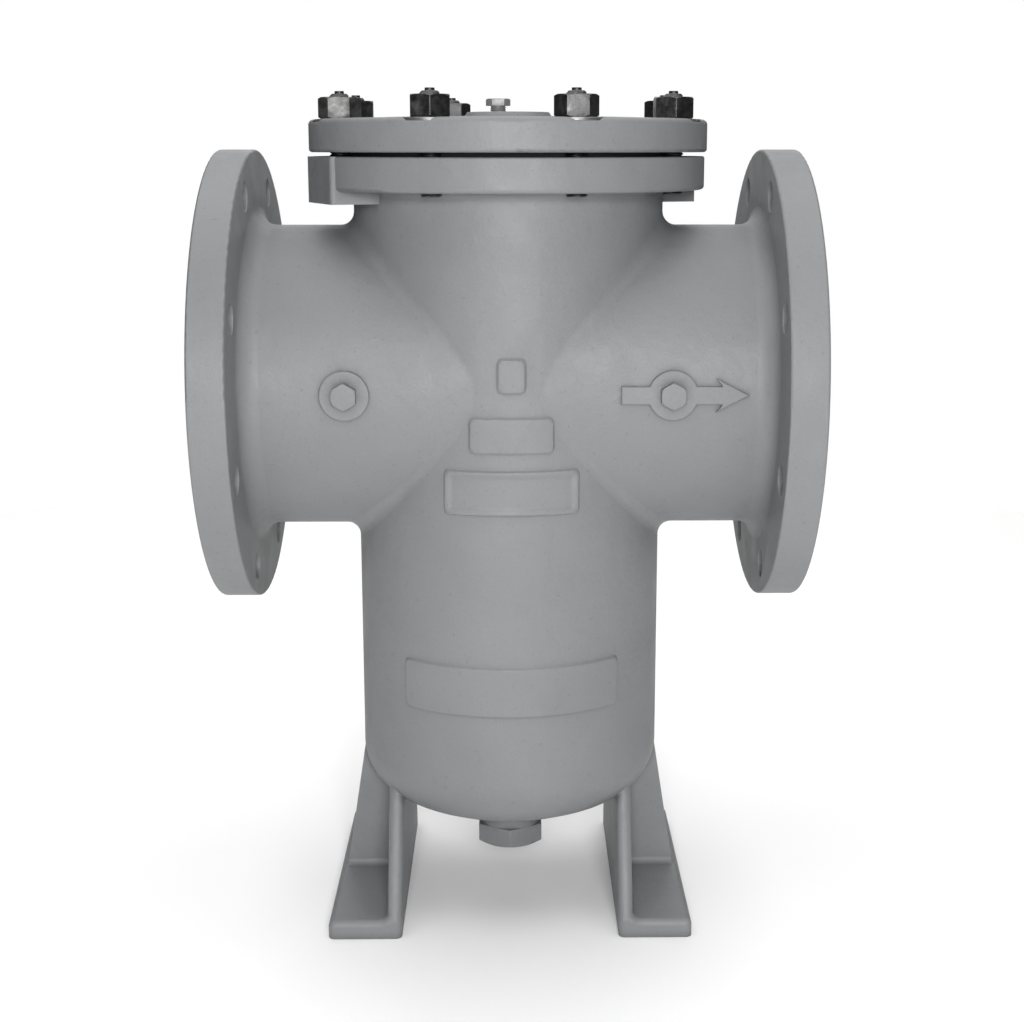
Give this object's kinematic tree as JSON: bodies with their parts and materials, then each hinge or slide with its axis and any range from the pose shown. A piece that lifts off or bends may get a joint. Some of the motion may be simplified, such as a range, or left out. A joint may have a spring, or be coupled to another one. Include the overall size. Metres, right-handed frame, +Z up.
{
  "type": "basket strainer",
  "caption": "Flanged in-line basket strainer: cast body on two saddle legs, bolted cover, lift-out perforated basket with bail handle, and vent, gauge and drain plugs.",
  "frame": {"origin": "on the floor, under the middle of the body", "axes": "+Z up, +X along the pipe run towards the outlet, -Y the front with the flow arrow and the gauge ports"},
  "size_m": [0.44, 0.3428, 0.633],
  "materials": {
    "casting_paint": "satin grey enamel over a sand-cast surface",
    "plug_paint": "satin grey enamel over forged steel",
    "dark_steel": "black oxide with bright worn edges",
    "zinc_plate": "bright zinc plating",
    "gasket_fibre": "dark compressed fibre sheet",
    "stainless_sheet": "mill-finish stainless sheet",
    "stainless_mesh": "woven stainless wire",
    "stainless_bar": "drawn stainless bar"
  },
  "bodies": {
    "strainer_body": {"body": "casting_paint", "cover_gasket": "gasket_fibre", "cover_stud_1": "dark_steel", "cover_stud_2": "dark_steel", "cover_stud_3": "dark_steel", "cover_stud_4": "dark_steel", "cover_stud_5": "dark_steel", "cover_stud_6": "dark_steel", "cover_stud_7": "dark_steel", "cover_stud_8": "dark_steel"},
    "cover": {"cover": "casting_paint", "cover_washer_1": "zinc_plate", "cover_washer_2": "zinc_plate", "cover_washer_3": "zinc_plate", "cover_washer_4": "zinc_plate", "cover_washer_5": "zinc_plate", "cover_washer_6": "zinc_plate", "cover_washer_7": "zinc_plate", "cover_washer_8": "zinc_plate"},
    "basket": {"basket_rim": "stainless_sheet", "basket_shell": "stainless_sheet", "basket_mesh": "stainless_mesh", "basket_bottom_plate": "stainless_sheet", "basket_bottom_mesh": "stainless_mesh", "basket_bottom_band": "stainless_sheet", "basket_seam_strip": "stainless_sheet", "front_handle_ear": "stainless_bar", "rear_handle_ear": "stainless_bar"},
    "basket_handle": {"basket_handle": "stainless_bar"},
    "vent_plug": {"vent_plug": "plug_paint"},
    "drain_plug": {"drain_plug": "plug_paint"},
    "inlet_gauge_plug": {"inlet_gauge_plug": "plug_paint"},
    "outlet_gauge_plug": {"outlet_gauge_plug": "plug_paint"},
    "cover_nut_1": {"cover_nut_1": "dark_steel"},
    "cover_nut_2": {"cover_nut_2": "dark_steel"},
    "cover_nut_3": {"cover_nut_3": "dark_steel"},
    "cover_nut_4": {"cover_nut_4": "dark_steel"},
    "cover_nut_5": {"cover_nut_5": "dark_steel"},
    "cover_nut_6": {"cover_nut_6": "dark_steel"},
    "cover_nut_7": {"cover_nut_7": "dark_steel"},
    "cover_nut_8": {"cover_nut_8": "dark_steel"}
  },
  "joints": [
    {"name": "cover_lift", "type": "slide", "parent": "strainer_body", "child": "cover", "axis": [0, 0, 1], "range_m": [0, 0.94]},
    {"name": "basket_lift", "type": "slide", "parent": "strainer_body", "child": "basket", "axis": [0, 0, 1], "range_m": [0, 0.47]},
    {"name": "handle_swing", "type": "hinge", "parent": "basket", "child": "basket_handle", "pos_m": [0, 0, 0.454], "axis": [0, 1, 0], "range_deg": [0, 180]},
    {"name": "vent_plug_unscrew", "type": "slide", "parent": "cover", "child": "vent_plug", "axis": [0, 0, 1], "range_m": [0, 0.036]},
    {"name": "drain_plug_unscrew", "type": "slide", "parent": "strainer_body", "child": "drain_plug", "axis": [0, 0, -1], "range_m": [0, 0.034]},
    {"name": "inlet_gauge_plug_unscrew", "type": "slide", "parent": "strainer_body", "child": "inlet_gauge_plug", "axis": [0, -1, 0], "range_m": [0, 0.022]},
    {"name": "outlet_gauge_plug_unscrew", "type": "slide", "parent": "strainer_body", "child": "outlet_gauge_plug", "axis": [0, -1, 0], "range_m": [0, 0.022]},
    {"name": "cover_nut_1_unscrew", "type": "slide", "parent": "cover", "child": "cover_nut_1", "axis": [0, 0, 1], "range_m": [0, 0.035]},
    {"name": "cover_nut_2_unscrew", "type": "slide", "parent": "cover", "child": "cover_nut_2", "axis": [0, 0, 1], "range_m": [0, 0.035]},
    {"name": "cover_nut_3_unscrew", "type": "slide", "parent": "cover", "child": "cover_nut_3", "axis": [0, 0, 1], "range_m": [0, 0.035]},
    {"name": "cover_nut_4_unscrew", "type": "slide", "parent": "cover", "child": "cover_nut_4", "axis": [0, 0, 1], "range_m": [0, 0.035]},
    {"name": "cover_nut_5_unscrew", "type": "slide", "parent": "cover", "child": "cover_nut_5", "axis": [0, 0, 1], "range_m": [0, 0.035]},
    {"name": "cover_nut_6_unscrew", "type": "slide", "parent": "cover", "child": "cover_nut_6", "axis": [0, 0, 1], "range_m": [0, 0.035]},
    {"name": "cover_nut_7_unscrew", "type": "slide", "parent": "cover", "child": "cover_nut_7", "axis": [0, 0, 1], "range_m": [0, 0.035]},
    {"name": "cover_nut_8_unscrew", "type": "slide", "parent": "cover", "child": "cover_nut_8", "axis": [0, 0, 1], "range_m": [0, 0.035]}
  ],
  "couplings": [
    {"joint": "basket_lift", "follows": "cover_lift", "ratio": 0.5}
  ]
}
